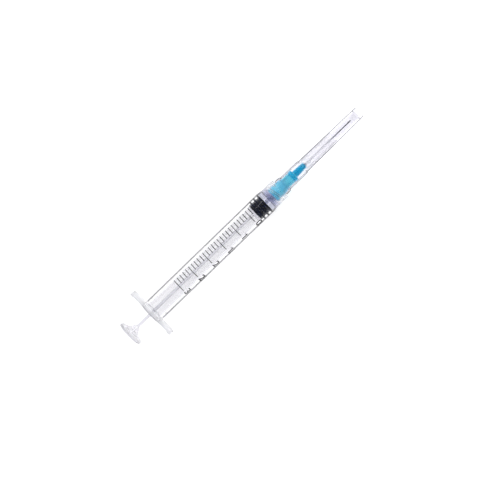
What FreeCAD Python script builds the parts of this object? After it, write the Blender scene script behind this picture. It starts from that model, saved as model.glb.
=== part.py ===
"""Three millilitre disposable syringe with a screwed-on, capped needle.

Millimetres. The origin is on the axis at the front face of the finger flange, +X runs to the
needle's point, the flange's wings lie along Y and +Z is up. The plunger is pressed right home.
"""
import FreeCAD, Part
import math
import os
import re
import Sketcher
from FreeCAD import Placement, Rotation, Vector

SIZES = [
    ("bore_diameter", 8.66, "inside of the barrel"),
    ("barrel_wall", 0.87, "thickness of the tube's wall"),
    ("barrel_length", 67.5, "flange's front face to the start of the shoulder"),
    ("bore_end_step", 0.15, "end of the bore back from the start of the shoulder"),
    ("mouth_chamfer", 0.3, "lead-in at the open end of the bore"),
    ("nose_cone", 0.3, "how far the end of the bore dishes forwards"),
    ("shoulder_length", 2.1, "taper from the tube to the collar"),
    ("flange_thickness", 1.45, "finger flange, front to back"),
    ("flange_disc_diameter", 12.6, "round middle of the finger flange"),
    ("flange_width", 24.4, "finger flange from wing tip to wing tip"),
    ("wing_depth", 7.6, "each wing, across"),
    ("wing_corner_radius", 2.6, "corners of the wing tips"),
    ("wing_root_radius", 1.2, "where a wing leaves the round middle"),
    ("wing_ridge_height", 0.35, "ridge along each wing tip, on the thumb's side"),
    ("wing_ridge_width", 2.0, "ridge along each wing tip, along the wing"),
    ("flange_root_radius", 0.8, "where the tube meets the flange"),
    ("barrel_edge_radius", 0.2, "rounding on the shoulder, collar and nozzle"),
    ("stop_bead_place", 2.6, "flange's front face to the stop bead in the bore"),
    ("stop_bead_width", 1.5, "stop bead along the bore, at the wall"),
    ("stop_bead_crest", 0.45, "stop bead along the bore, at its top"),
    ("stop_bead_height", 0.22, "how far the stop bead stands into the bore"),
    ("collar_diameter", 9.6, "outside of the locking collar"),
    ("collar_length", 6.4, "end of the shoulder to the collar's mouth"),
    ("collar_depth", 6.95, "depth of the space inside the collar"),
    ("thread_root_diameter", 8.0, "inside of the collar between its threads"),
    ("thread_crest_diameter", 7.05, "across the tops of the collar's threads"),
    ("thread_lead", 5.0, "advance of the double thread in one turn"),
    ("thread_starts", 2, "threads side by side"),
    ("thread_base_width", 1.0, "one thread, at the collar's wall"),
    ("thread_crest_width", 0.5, "one thread, at its top"),
    ("thread_turns", 0.9, "how far round each thread runs"),
    ("thread_mouth_gap", 0.35, "plain stretch between the threads and the mouth"),
    ("ridge_sink", 0.2, "how far a thread, lug or fin is rooted in what carries it"),
    ("luer_tip_diameter", 3.925, "small end of the tapered nozzle"),
    ("luer_taper", 0.06, "growth of the nozzle's diameter for each millimetre"),
    ("luer_reach", 2.1, "how far the nozzle stands out of the collar"),
    ("luer_passage", 2.1, "passage through the nozzle"),
    ("luer_engagement", 6.5, "how much of the nozzle the hub covers"),
    ("luer_clearance", 0.03, "gap around the nozzle in the hub"),
    ("stopper_length", 6.0, "rubber stopper, back to front"),
    ("stopper_clearance", 0.03, "gap between the stopper's rings and the bore"),
    ("stopper_face_gap", 0.05, "gap between the stopper and the end of the bore"),
    ("stopper_groove_depth", 0.45, "depth of the grooves between the rings"),
    ("stopper_back_step", 0.3, "how much slimmer the stopper's back end is"),
    ("stopper_back_width", 0.85, "the slimmer back end"),
    ("stopper_ring_width", 1.0, "each sealing ring"),
    ("stopper_edge_radius", 0.18, "rounding on the rings' edges"),
    ("snap_neck_diameter", 3.2, "plunger's neck inside the stopper"),
    ("snap_neck_length", 1.5, "plunger's neck inside the stopper"),
    ("snap_head_diameter", 4.8, "plunger's head inside the stopper"),
    ("snap_head_length", 1.9, "plunger's head inside the stopper"),
    ("snap_head_rim", 0.75, "full-width part of the plunger's head"),
    ("snap_head_nose", 2.6, "front of the plunger's head"),
    ("snap_clearance", 0.06, "gap all round the plunger's head and neck"),
    ("rod_disc_diameter", 7.9, "disc that pushes the stopper"),
    ("rod_disc_thickness", 1.3, "disc that pushes the stopper"),
    ("rod_rib_width", 7.3, "plunger's cross, from edge to edge"),
    ("rod_rib_thickness", 0.85, "each rib of the plunger's cross"),
    ("rod_free_length", 11.7, "flange to thumb rest with the plunger home"),
    ("rod_boss_length", 4.2, "cone that stiffens the rod behind the thumb rest"),
    ("rod_boss_diameter", 6.6, "cone, where it meets the thumb rest"),
    ("thumb_diameter", 11.9, "thumb rest"),
    ("thumb_thickness", 1.35, "thumb rest"),
    ("thumb_edge_radius", 0.45, "rounding around the thumb rest"),
    ("thumb_ridge_width", 0.5, "each raised ring on the thumb rest"),
    ("thumb_ridge_height", 0.15, "each raised ring on the thumb rest"),
    ("thumb_ridge_pitch", 1.5, "from one raised ring to the next"),
    ("thumb_ridge_count", 3, "raised rings on the thumb rest"),
    ("hub_foot_diameter", 6.6, "hub's foot, which carries the lugs"),
    ("hub_foot_length", 1.6, "hub's foot along the axis"),
    ("lug_span", 7.8, "across the two lugs"),
    ("lug_tip_width", 0.6, "one lug, at its tip"),
    ("lug_turns", 0.12, "how far round each lug runs"),
    ("lug_set_in", 0.15, "hub's back face to the back of a lug"),
    ("lug_clearance", 0.06, "gap between a lug and the thread it bears on"),
    ("hub_body_diameter", 6.3, "hub's body"),
    ("hub_body_length", 5.2, "hub's body, to the start of its fins"),
    ("hub_shoulder_length", 1.1, "slope from the body down to the core between the fins"),
    ("hub_socket_depth", 7.2, "tapered socket in the hub"),
    ("hub_core_diameter", 4.3, "hub between its fins"),
    ("hub_fin_length", 4.5, "fins along the axis"),
    ("hub_fin_span", 5.5, "across the tips of opposite fins"),
    ("hub_fin_thickness", 0.8, "each fin"),
    ("hub_fin_count", 4, "fins around the hub"),
    ("hub_ring_diameter", 5.6, "ring in front of the fins, which holds the cap"),
    ("hub_ring_length", 1.6, "ring in front of the fins"),
    ("hub_nose_back_diameter", 3.3, "nose, where it leaves the ring"),
    ("hub_nose_front_diameter", 2.7, "nose, at its front"),
    ("hub_nose_length", 6.1, "nose along the axis"),
    ("hub_nose_radius", 0.35, "rounding at the front of the nose"),
    ("hub_edge_radius", 0.25, "rounding on the hub's other edges"),
    ("hub_waist_diameter", 1.5, "passage between the socket and the needle"),
    ("hub_waist_length", 1.6, "passage between the socket and the needle"),
    ("well_diameter", 1.7, "glue well at the front of the nose"),
    ("well_depth", 2.2, "glue well at the front of the nose"),
    ("bond_clearance", 0.03, "gap around the glue plug"),
    ("bond_dome", 0.45, "how far the glue climbs the needle past the nose"),
    ("needle_diameter", 0.64, "outside of the steel needle"),
    ("needle_bore", 0.34, "inside of the steel needle"),
    ("needle_exposed", 27.5, "hub's nose to the needle's point"),
    ("bevel_length", 2.7, "long slant of the point"),
    ("lancet_length", 1.3, "two side cuts of the point"),
    ("lancet_turn", 32.0, "how far each side cut is turned about the needle, in degrees"),
    ("cut_overrun", 0.05, "how far a cut starts outside the needle, as a share of the cut"),
    ("cap_gap", 0.3, "collar's mouth to the cap's mouth"),
    ("cap_skirt_diameter", 7.7, "outside of the cap's skirt"),
    ("cap_skirt_length", 2.4, "cap's skirt"),
    ("cap_skirt_wall", 0.55, "wall of the cap's skirt"),
    ("cap_grip_diameter", 6.75, "outside of the cap around the hub's ring"),
    ("cap_grip_length", 10.3, "cap's skirt to its next step"),
    ("cap_clearance", 0.04, "gap between the cap and the hub"),
    ("cap_barrel_back", 6.0, "cap's long part, outside, at its back"),
    ("cap_barrel_front", 5.3, "cap's long part, outside, at its front"),
    ("cap_barrel_length", 33.8, "cap's long part"),
    ("cap_barrel_wall", 0.6, "wall of the cap's long part"),
    ("cap_step_length", 0.6, "slope between two widths of the cap"),
    ("cap_end_thickness", 1.7, "closed end of the cap"),
    ("cap_end_radius", 0.5, "rounding around the cap's closed end"),
    ("cap_edge_radius", 0.2, "rounding on the cap's other edges"),
    ("cap_rib_count", 3, "ribs inside the cap"),
    ("cap_rib_length", 18.0, "ribs inside the cap"),
    ("cap_rib_height", 0.35, "ribs inside the cap, from its wall"),
    ("cap_rib_thickness", 0.4, "ribs inside the cap"),
    ("cap_rib_turn", 142.0, "first rib, turned about the axis from +Y, in degrees"),
]

# Places along the axis and radii that follow from the sizes above.
PLACES = {
    "bore_radius": "bore_diameter/2",
    "barrel_radius": "bore_radius+barrel_wall",
    "flange_back": "-flange_thickness",
    "stop_bead_middle": "stop_bead_place+stop_bead_width/2",
    "collar_back": "barrel_length+shoulder_length",
    "collar_mouth": "collar_back+collar_length",
    "collar_floor": "collar_mouth-collar_depth",
    "luer_tip": "collar_mouth+luer_reach",
    "luer_tip_radius": "luer_tip_diameter/2",
    "luer_floor_radius": "luer_tip_radius+(luer_tip-collar_floor)*luer_taper/2",
    "thread_root": "thread_root_diameter/2",
    "thread_crest": "thread_crest_diameter/2",
    "thread_back": "collar_mouth-thread_mouth_gap-thread_turns*thread_lead-thread_base_width/2",
    "thread_slope": "(thread_base_width-thread_crest_width)/(thread_root_diameter-thread_crest_diameter)",
    "bore_end": "barrel_length-bore_end_step",
    "stopper_front": "bore_end-stopper_face_gap",
    "stopper_back": "stopper_front-stopper_length",
    "stopper_radius": "bore_radius-stopper_clearance",
    "groove_radius": "stopper_radius-stopper_groove_depth",
    "ring_start": "stopper_back+stopper_back_width",
    "ring_gap": "(stopper_front-ring_start-3*stopper_ring_width)/2",
    "middle_ring": "ring_start+stopper_ring_width+ring_gap",
    "front_ring": "stopper_front-stopper_ring_width",
    "rod_disc_front": "stopper_back-snap_clearance",
    "rod_disc_back": "rod_disc_front-rod_disc_thickness",
    "snap_head_back": "rod_disc_front+snap_neck_length",
    "snap_head_front": "snap_head_back+snap_head_length",
    "thumb_front": "flange_back-rod_free_length",
    "thumb_back": "thumb_front-thumb_thickness",
    "hub_back": "luer_tip-luer_engagement",
    "hub_foot_front": "hub_back+hub_foot_length",
    "fins_back": "hub_foot_front+hub_body_length",
    "fins_front": "fins_back+hub_fin_length",
    "ring_front": "fins_front+hub_ring_length",
    "nose_front": "ring_front+hub_nose_length",
    "socket_mouth_radius": "luer_tip_radius+luer_engagement*luer_taper/2+luer_clearance",
    "socket_front": "hub_back+hub_socket_depth",
    "socket_front_radius": "socket_mouth_radius-hub_socket_depth*luer_taper/2",
    "waist_front": "socket_front+hub_waist_length",
    "well_back": "nose_front-well_depth",
    "needle_radius": "needle_diameter/2",
    "needle_tip": "nose_front+needle_exposed",
    "lug_base_width": "lug_tip_width+(lug_span-hub_foot_diameter)*thread_slope",
    "lug_middle": "hub_back+lug_set_in+(lug_base_width+lug_turns*thread_lead)/2",
    "lug_reach_in": "(lug_span-thread_crest_diameter)/2*thread_slope",
    "thread_at_lug": "lug_middle+(lug_tip_width+thread_crest_width)/2+lug_reach_in+lug_clearance",
    "lug_turn": "((thread_at_lug-thread_back)/thread_lead-0.5-lug_turns/2)*360",
    "lug_back": "lug_middle-lug_turns*thread_lead/2",
    "bond_back": "well_back+3*bond_clearance*well_depth/(well_diameter/2-needle_radius)",
    "cap_mouth": "collar_mouth+cap_gap",
    "cap_grip_back": "cap_mouth+cap_skirt_length",
    "cap_step": "cap_grip_back+cap_grip_length",
    "cap_front": "cap_step+cap_barrel_length",
    "cap_skirt_radius": "cap_skirt_diameter/2",
    "cap_grip_radius": "cap_grip_diameter/2",
    "cap_ring_radius": "hub_ring_diameter/2+cap_clearance",
    "cap_skirt_bore": "cap_skirt_radius-cap_skirt_wall",
    "cap_narrow_back": "cap_barrel_back/2-cap_barrel_wall",
    "cap_narrow_front": "cap_barrel_front/2-cap_barrel_wall",
    "cap_inside_end": "cap_front-cap_end_thickness",
    "cap_seat": "fins_back+cap_clearance*2",
    "cap_rib_back": "cap_step+cap_step_length",
    "cap_rib_front": "cap_rib_back+cap_rib_length",
    "cap_taper": "(cap_narrow_back-cap_narrow_front)/(cap_inside_end-cap_rib_back)",
    "cap_rib_front_radius": "cap_narrow_back-cap_rib_length*cap_taper",
}

doc = FreeCAD.newDocument("syringe")
sheet = doc.addObject("Spreadsheet::Sheet", "sizes")
for row, (alias, value, meaning) in enumerate(SIZES, start=1):
    sheet.set(f"A{row}", alias)
    sheet.set(f"B{row}", str(value))
    sheet.set(f"C{row}", meaning)
    sheet.setAlias(f"B{row}", alias)
doc.recompute()


def bound(formula):
    """Write a formula of plain words as one that reads the sheet's cells."""
    def refer(word):
        name = word.group()
        return f"({bound(PLACES[name])})" if name in PLACES else f"sizes.{name}"
    return re.sub(r"[a-z][a-z_]*\b(?!\()", refer, str(formula))


def measure(formula):
    """The present value of a formula of plain words."""
    return float(sheet.evalExpression(bound(formula)))


def new_body(name):
    body = doc.addObject("PartDesign::Body", name)
    body.Label = name
    body.Placement = Placement()
    return body


def origin_feature(body, role):
    return next(item for item in body.Origin.OriginFeatures if item.Role == role)


def new_sketch(body, name, role, along=None, turned=None):
    """A sketch on one of the body's own planes, moved along X or turned about X where asked."""
    sketch = body.newObject("Sketcher::SketchObject", name)
    sketch.AttachmentSupport = (origin_feature(body, role), [""])
    sketch.MapMode = "FlatFace"
    if along:
        sketch.setExpression(".AttachmentOffset.Base.z", bound(along))
    if turned:
        about = Vector(0, 0, 1) if role == "YZ_Plane" else Vector(1, 0, 0)
        sketch.AttachmentOffset = Placement(Vector(0, 0, 0), Rotation(about, measure(turned)))
    return sketch


def hold(sketch, kind, point, formula):
    """Fix one coordinate of a sketch point, measured from the origin, by a formula."""
    value = measure(formula)
    if abs(value) < 1e-9:
        axis = -2 if kind == "DistanceX" else -1
        sketch.addConstraint(Sketcher.Constraint("PointOnObject", point, 1, axis))
        return
    number = sketch.addConstraint(Sketcher.Constraint(kind, -1, 1, point, 1, value))
    sketch.setExpression(f"Constraints[{number}]", bound(formula))


def outline(sketch, points):
    """A closed outline of straight lines through points given as pairs of formulas."""
    spots = [Vector(measure(across), measure(up), 0) for across, up in points]
    count = len(spots)
    for index in range(count):
        sketch.addGeometry(Part.LineSegment(spots[index], spots[(index + 1) % count]), False)
    for index in range(count):
        following = (index + 1) % count
        sketch.addConstraint(Sketcher.Constraint("Coincident", index, 2, following, 1))
    for index, (across, up) in enumerate(points):
        hold(sketch, "DistanceX", index, across)
        hold(sketch, "DistanceY", index, up)
    return sketch


def rectangle(sketch, low, high):
    (left, bottom), (right, top) = low, high
    return outline(sketch, [(left, bottom), (right, bottom), (right, top), (left, top)])


def ring_cut(sketch, diameter):
    """A round hole in the middle of a sketch."""
    circle = Part.Circle(Vector(0, 0, 0), Vector(0, 0, 1), measure(diameter) / 2)
    number = sketch.addGeometry(circle, False)
    sketch.addConstraint(Sketcher.Constraint("Coincident", number, 3, -1, 1))
    size = sketch.addConstraint(Sketcher.Constraint("Diameter", number, measure(diameter)))
    sketch.setExpression(f"Constraints[{size}]", bound(diameter))


def feature(body, kind, name, sketch):
    made = body.newObject(f"PartDesign::{kind}", name)
    made.Profile = sketch
    body.Tip = made
    return made


def revolve(body, name, points):
    """Turn an outline of (place along the axis, radius) pairs about the axis."""
    made = feature(body, "Revolution", name, outline(new_sketch(body, f"{name}_outline", "XY_Plane"), points))
    made.ReferenceAxis = (made.Profile[0], ["H_Axis"])
    made.Angle = 360
    doc.recompute()
    return made


def pad(body, name, sketch, length, both_ways=False):
    made = feature(body, "Pad", name, sketch)
    made.setExpression("Length", bound(length))
    made.Midplane = both_ways
    doc.recompute()
    return made


def helix(body, name, sketch, lead, turns):
    made = feature(body, "AdditiveHelix", name, sketch)
    made.ReferenceAxis = (sketch, ["H_Axis"])
    made.Mode = "pitch-turns-angle"
    made.setExpression("Pitch", bound(lead))
    made.setExpression("Turns", bound(turns))
    made.Angle = 0
    doc.recompute()
    return made


def repeat_round(body, name, original, count):
    """Copies of one feature, evenly spaced about the axis."""
    made = body.newObject("PartDesign::PolarPattern", name)
    made.Originals = [original]
    made.Axis = (origin_feature(body, "X_Axis"), [""])
    made.Angle = 360
    made.setExpression("Occurrences", bound(count))
    body.Tip = made
    doc.recompute()
    return made


def ring_edges(shape, places):
    """Names of the full circles about the axis at these (place along the axis, radius) pairs."""
    wanted = [(measure(along), measure(radius)) for along, radius in places]
    names = []
    for number, edge in enumerate(shape.Edges, start=1):
        if not isinstance(edge.Curve, Part.Circle):
            continue
        centre = edge.Curve.Center
        for along, radius in wanted:
            if abs(centre.x - along) < 1e-4 and math.hypot(centre.y, centre.z) < 1e-4:
                if abs(edge.Curve.Radius - radius) < 1e-4:
                    names.append(f"Edge{number}")
    return names


def corner_edges(shape, across, up):
    """Names of the straight edges along the axis whose places are (+-across, +-up)."""
    wanted = (measure(across), measure(up))
    names = []
    for number, edge in enumerate(shape.Edges, start=1):
        middle = edge.CenterOfMass
        straight = isinstance(edge.Curve, Part.Line) and abs(edge.Curve.Direction.x) > 0.999
        if straight and abs(abs(middle.y) - wanted[0]) < 1e-3 and abs(abs(middle.z) - wanted[1]) < 1e-3:
            names.append(f"Edge{number}")
    return names


def round_off(body, name, base, edges, radius):
    made = body.newObject("PartDesign::Fillet", name)
    made.Base = (base, edges)
    made.setExpression("Radius", bound(radius))
    body.Tip = made
    doc.recompute()
    return made


def make_barrel():
    """Tube, finger flange, nozzle and locking collar, moulded in one."""
    body = new_body("barrel")
    tube = revolve(body, "tube", [
        ("flange_back", "bore_radius+mouth_chamfer"),
        ("flange_back", "flange_disc_diameter/2"),
        ("0", "flange_disc_diameter/2"),
        ("0", "barrel_radius"),
        ("barrel_length", "barrel_radius"),
        ("collar_back", "collar_diameter/2"),
        ("collar_mouth", "collar_diameter/2"),
        ("collar_mouth", "thread_root"),
        ("collar_floor", "thread_root"),
        ("collar_floor", "luer_floor_radius"),
        ("luer_tip", "luer_tip_radius"),
        ("luer_tip", "luer_passage/2"),
        ("bore_end+nose_cone", "luer_passage/2"),
        ("bore_end", "bore_radius"),
        ("stop_bead_place+stop_bead_width", "bore_radius"),
        ("stop_bead_middle+stop_bead_crest/2", "bore_radius-stop_bead_height"),
        ("stop_bead_middle-stop_bead_crest/2", "bore_radius-stop_bead_height"),
        ("stop_bead_place", "bore_radius"),
        ("flange_back+mouth_chamfer", "bore_radius"),
    ])
    softened = round_off(body, "soft_edges", tube, ring_edges(tube.Shape, [
        ("collar_mouth", "collar_diameter/2"),
        ("luer_tip", "luer_tip_radius"),
        ("barrel_length", "barrel_radius"),
    ]), "barrel_edge_radius")
    root = ring_edges(softened.Shape, [("0", "barrel_radius")])
    round_off(body, "flange_root", softened, root, "flange_root_radius")
    plate = new_sketch(body, "wing_outline", "YZ_Plane", along="flange_back")
    rectangle(plate, ("-flange_width/2", "-wing_depth/2"), ("flange_width/2", "wing_depth/2"))
    ring_cut(plate, "bore_diameter+barrel_wall")
    wings = pad(body, "wings", plate, "flange_thickness")
    tips = new_sketch(body, "ridge_outline", "YZ_Plane", along="flange_back-wing_ridge_height")
    rectangle(tips, ("flange_width/2-wing_ridge_width", "-wing_depth/2"), ("flange_width/2", "wing_depth/2"))
    ridge = pad(body, "tip_ridge", tips, "wing_ridge_height+flange_thickness/2")
    ridges = repeat_round(body, "tip_ridges", ridge, "2")
    corners = round_off(body, "wing_corners", ridges,
                        corner_edges(ridges.Shape, "flange_width/2", "wing_depth/2"), "wing_corner_radius")
    roots = corner_edges(corners.Shape, "sqrt((flange_disc_diameter/2)^2-(wing_depth/2)^2)", "wing_depth/2")
    round_off(body, "wing_roots", corners, roots, "wing_root_radius")
    thread_outline = new_sketch(body, "thread_outline", "XY_Plane")
    outline(thread_outline, [
        ("thread_back-thread_base_width/2-ridge_sink*thread_slope", "thread_root+ridge_sink"),
        ("thread_back-thread_crest_width/2", "thread_crest"),
        ("thread_back+thread_crest_width/2", "thread_crest"),
        ("thread_back+thread_base_width/2+ridge_sink*thread_slope", "thread_root+ridge_sink"),
    ])
    thread = helix(body, "collar_thread", thread_outline, "thread_lead", "thread_turns")
    repeat_round(body, "collar_threads", thread, "thread_starts")
    return body


def make_plunger_rod():
    """Thumb rest, four-ribbed rod, pushing disc and snap head, moulded in one."""
    body = new_body("plunger_rod")
    for name, role in (("level_ribs", "XY_Plane"), ("upright_ribs", "XZ_Plane")):
        sketch = new_sketch(body, f"{name}_outline", role)
        rectangle(sketch, ("thumb_front-thumb_thickness/2", "-rod_rib_width/2"),
                  ("rod_disc_front-rod_disc_thickness/2", "rod_rib_width/2"))
        pad(body, name, sketch, "rod_rib_thickness", both_ways=True)
    face = [("thumb_back", "0")]
    for number in range(1, int(measure("thumb_ridge_count")) + 1):
        inner = f"thumb_ridge_pitch*{number}-thumb_ridge_width/2"
        outer = f"thumb_ridge_pitch*{number}+thumb_ridge_width/2"
        face += [("thumb_back", inner), ("thumb_back-thumb_ridge_height", inner),
                 ("thumb_back-thumb_ridge_height", outer), ("thumb_back", outer)]
    rest = revolve(body, "thumb_rest", face + [
        ("thumb_back", "thumb_diameter/2"),
        ("thumb_front", "thumb_diameter/2"),
        ("thumb_front", "rod_boss_diameter/2"),
        ("thumb_front+rod_boss_length", "rod_rib_thickness/2"),
        ("thumb_front+rod_boss_length", "0"),
    ])
    rim = ring_edges(rest.Shape, [("thumb_back", "thumb_diameter/2"), ("thumb_front", "thumb_diameter/2")])
    round_off(body, "thumb_rim", rest, rim, "thumb_edge_radius")
    revolve(body, "snap_end", [
        ("rod_disc_back", "0"),
        ("rod_disc_back", "rod_disc_diameter/2"),
        ("rod_disc_front", "rod_disc_diameter/2"),
        ("rod_disc_front", "snap_neck_diameter/2"),
        ("snap_head_back", "snap_neck_diameter/2"),
        ("snap_head_back", "snap_head_diameter/2"),
        ("snap_head_back+snap_head_rim", "snap_head_diameter/2"),
        ("snap_head_front", "snap_head_nose/2"),
        ("snap_head_front", "0"),
    ])
    return body


def make_stopper():
    """Rubber stopper: three sealing rings outside, a socket for the plunger's head inside."""
    body = new_body("stopper")
    rubber = revolve(body, "rubber", [
        ("stopper_back", "snap_neck_diameter/2+snap_clearance"),
        ("stopper_back", "stopper_radius-stopper_back_step"),
        ("ring_start", "stopper_radius-stopper_back_step"),
        ("ring_start", "stopper_radius"),
        ("ring_start+stopper_ring_width", "stopper_radius"),
        ("ring_start+stopper_ring_width", "groove_radius"),
        ("middle_ring", "groove_radius"),
        ("middle_ring", "stopper_radius"),
        ("middle_ring+stopper_ring_width", "stopper_radius"),
        ("middle_ring+stopper_ring_width", "groove_radius"),
        ("front_ring", "groove_radius"),
        ("front_ring", "stopper_radius"),
        ("stopper_front", "stopper_radius"),
        ("stopper_front+nose_cone", "luer_passage/2"),
        ("stopper_front+nose_cone", "0"),
        ("snap_head_front+snap_clearance", "0"),
        ("snap_head_front+snap_clearance", "snap_head_nose/2+snap_clearance"),
        ("snap_head_back+snap_head_rim+snap_clearance", "snap_head_diameter/2+snap_clearance"),
        ("snap_head_back-snap_clearance", "snap_head_diameter/2+snap_clearance"),
        ("snap_head_back-snap_clearance", "snap_neck_diameter/2+snap_clearance"),
    ])
    rings = ring_edges(rubber.Shape, [
        ("stopper_back", "stopper_radius-stopper_back_step"),
        ("ring_start", "stopper_radius"),
        ("ring_start+stopper_ring_width", "stopper_radius"),
        ("middle_ring", "stopper_radius"),
        ("middle_ring+stopper_ring_width", "stopper_radius"),
        ("front_ring", "stopper_radius"),
        ("stopper_front", "stopper_radius"),
    ])
    round_off(body, "soft_rings", rubber, rings, "stopper_edge_radius")
    return body


def make_needle_hub():
    """Tapered socket, locking lugs, fins, cap ring and nose, moulded in one."""
    body = new_body("needle_hub")
    core = revolve(body, "core", [
        ("hub_back", "socket_mouth_radius"),
        ("hub_back", "hub_foot_diameter/2"),
        ("hub_foot_front", "hub_foot_diameter/2"),
        ("hub_foot_front", "hub_body_diameter/2"),
        ("fins_back", "hub_body_diameter/2"),
        ("fins_back", "hub_fin_span/2"),
        ("fins_back+hub_shoulder_length", "hub_core_diameter/2"),
        ("fins_front", "hub_core_diameter/2"),
        ("fins_front", "hub_ring_diameter/2"),
        ("ring_front", "hub_ring_diameter/2"),
        ("ring_front", "hub_nose_back_diameter/2"),
        ("nose_front", "hub_nose_front_diameter/2"),
        ("nose_front", "well_diameter/2"),
        ("well_back", "needle_radius"),
        ("waist_front", "needle_radius"),
        ("waist_front", "hub_waist_diameter/2"),
        ("socket_front", "hub_waist_diameter/2"),
        ("socket_front", "socket_front_radius"),
    ])
    softened = round_off(body, "soft_edges", core, ring_edges(core.Shape, [
        ("fins_back", "hub_body_diameter/2"),
        ("ring_front", "hub_ring_diameter/2"),
    ]), "hub_edge_radius")
    nose = ring_edges(softened.Shape, [("nose_front", "hub_nose_front_diameter/2")])
    round_off(body, "soft_nose", softened, nose, "hub_nose_radius")
    fin_outline = new_sketch(body, "fin_outline", "YZ_Plane", along="fins_back", turned="180/hub_fin_count")
    rectangle(fin_outline, ("hub_core_diameter/2-ridge_sink", "-hub_fin_thickness/2"),
              ("hub_fin_span/2", "hub_fin_thickness/2"))
    fin = pad(body, "fin", fin_outline, "hub_fin_length")
    repeat_round(body, "fins", fin, "hub_fin_count")
    lug_outline = new_sketch(body, "lug_outline", "XY_Plane", turned="lug_turn")
    outline(lug_outline, [
        ("lug_back-lug_base_width/2-ridge_sink*thread_slope", "hub_foot_diameter/2-ridge_sink"),
        ("lug_back-lug_tip_width/2", "lug_span/2"),
        ("lug_back+lug_tip_width/2", "lug_span/2"),
        ("lug_back+lug_base_width/2+ridge_sink*thread_slope", "hub_foot_diameter/2-ridge_sink"),
    ])
    lug = helix(body, "lug", lug_outline, "thread_lead", "lug_turns")
    repeat_round(body, "lugs", lug, "thread_starts")
    return body


def make_cannula():
    """Steel needle with a long slant and two side cuts at its point."""
    body = new_body("cannula")
    section = new_sketch(body, "section", "YZ_Plane", along="waist_front")
    ring_cut(section, "needle_diameter")
    ring_cut(section, "needle_bore")
    pad(body, "needle_tube", section, "needle_tip-waist_front")
    for name, length, turn in (("long_slant", "bevel_length", None),
                               ("left_cut", "lancet_length", "lancet_turn"),
                               ("right_cut", "lancet_length", "-lancet_turn")):
        sketch = new_sketch(body, f"{name}_outline", "XZ_Plane", turned=turn)
        outline(sketch, [
            (f"needle_tip-{length}*(1+cut_overrun)", "needle_radius*(1+2*cut_overrun)"),
            (f"needle_tip+{length}*cut_overrun", "-needle_radius*(1+2*cut_overrun)"),
            (f"needle_tip+{length}", "-needle_radius*(1+2*cut_overrun)"),
            (f"needle_tip+{length}", "needle_radius*(1+2*cut_overrun)"),
        ])
        ground = feature(body, "Pocket", name, sketch)
        ground.Midplane = True
        ground.setExpression("Length", bound("needle_diameter*4"))
        doc.recompute()
    return body


def make_needle_bond():
    """Ring of glue in the nose's well, which holds the needle."""
    body = new_body("needle_bond")
    revolve(body, "glue", [
        ("bond_back", "needle_radius+bond_clearance"),
        ("bond_back", "needle_radius+bond_clearance*2"),
        ("nose_front", "well_diameter/2-bond_clearance"),
        ("nose_front+bond_dome/3", "(needle_radius+well_diameter/2)/2"),
        ("nose_front+bond_dome", "needle_radius+bond_clearance*2.5"),
        ("nose_front+bond_dome", "needle_radius+bond_clearance"),
    ])
    return body


def make_needle_cap():
    """Stepped, closed sheath with ribs inside."""
    body = new_body("needle_cap")
    sheath = revolve(body, "sheath", [
        ("cap_mouth", "cap_skirt_bore"),
        ("cap_mouth", "cap_skirt_radius"),
        ("cap_grip_back", "cap_skirt_radius"),
        ("cap_grip_back+cap_step_length", "cap_grip_radius"),
        ("cap_step", "cap_grip_radius"),
        ("cap_step+cap_step_length", "cap_barrel_back/2"),
        ("cap_front", "cap_barrel_front/2"),
        ("cap_front", "0"),
        ("cap_inside_end", "0"),
        ("cap_inside_end", "cap_narrow_front"),
        ("cap_rib_back", "cap_narrow_back"),
        ("cap_step", "cap_ring_radius"),
        ("cap_seat+cap_step_length", "cap_ring_radius"),
        ("cap_seat", "cap_skirt_bore"),
    ])
    softened = round_off(body, "soft_edges", sheath, ring_edges(sheath.Shape, [
        ("cap_mouth", "cap_skirt_radius"),
        ("cap_grip_back", "cap_skirt_radius"),
        ("cap_inside_end", "cap_narrow_front"),
    ]), "cap_edge_radius")
    end = ring_edges(softened.Shape, [("cap_front", "cap_barrel_front/2")])
    round_off(body, "soft_end", softened, end, "cap_end_radius")
    rib_outline = new_sketch(body, "rib_outline", "XY_Plane", turned="cap_rib_turn")
    outline(rib_outline, [
        ("cap_rib_back", "cap_narrow_back-cap_rib_height"),
        ("cap_rib_front", "cap_rib_front_radius-cap_rib_height"),
        ("cap_rib_front", "cap_rib_front_radius+cap_barrel_wall/3"),
        ("cap_rib_back", "cap_narrow_back+cap_barrel_wall/3"),
    ])
    rib = pad(body, "rib", rib_outline, "cap_rib_thickness", both_ways=True)
    repeat_round(body, "ribs", rib, "cap_rib_count")
    return body


pieces = [
    make_barrel(),
    make_plunger_rod(),
    make_stopper(),
    make_needle_hub(),
    make_cannula(),
    make_needle_bond(),
    make_needle_cap(),
]
doc.recompute()

for item in doc.Objects:
    if {"Invalid", "Error"} & set(item.State):
        raise RuntimeError(f"{item.Name} failed: {item.State}")
for piece in pieces:
    if piece.Shape.isNull() or not piece.Shape.isValid() or len(piece.Shape.Solids) != 1:
        raise RuntimeError(f"{piece.Label} is not one sound solid")

os.makedirs("parts", exist_ok=True)
for piece in pieces:
    piece.Shape.exportStep(f"parts/{piece.Label}.step")
    box = piece.Shape.BoundBox
    print(f"{piece.Label}: {piece.Shape.Volume:.2f} mm3, X {box.XMin:.2f} to {box.XMax:.2f}")
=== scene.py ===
"""Looks of a three millilitre disposable syringe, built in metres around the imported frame.

+X runs along the axis to the needle's point, +Z is up. Lengths below are millimetres, turned
into metres by MM where a mesh is made. Angles around the axis are counted from the top, +Z,
and are positive towards +Y.
"""

import math

import bmesh
import bpy
from mathutils import Matrix, Vector


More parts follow.
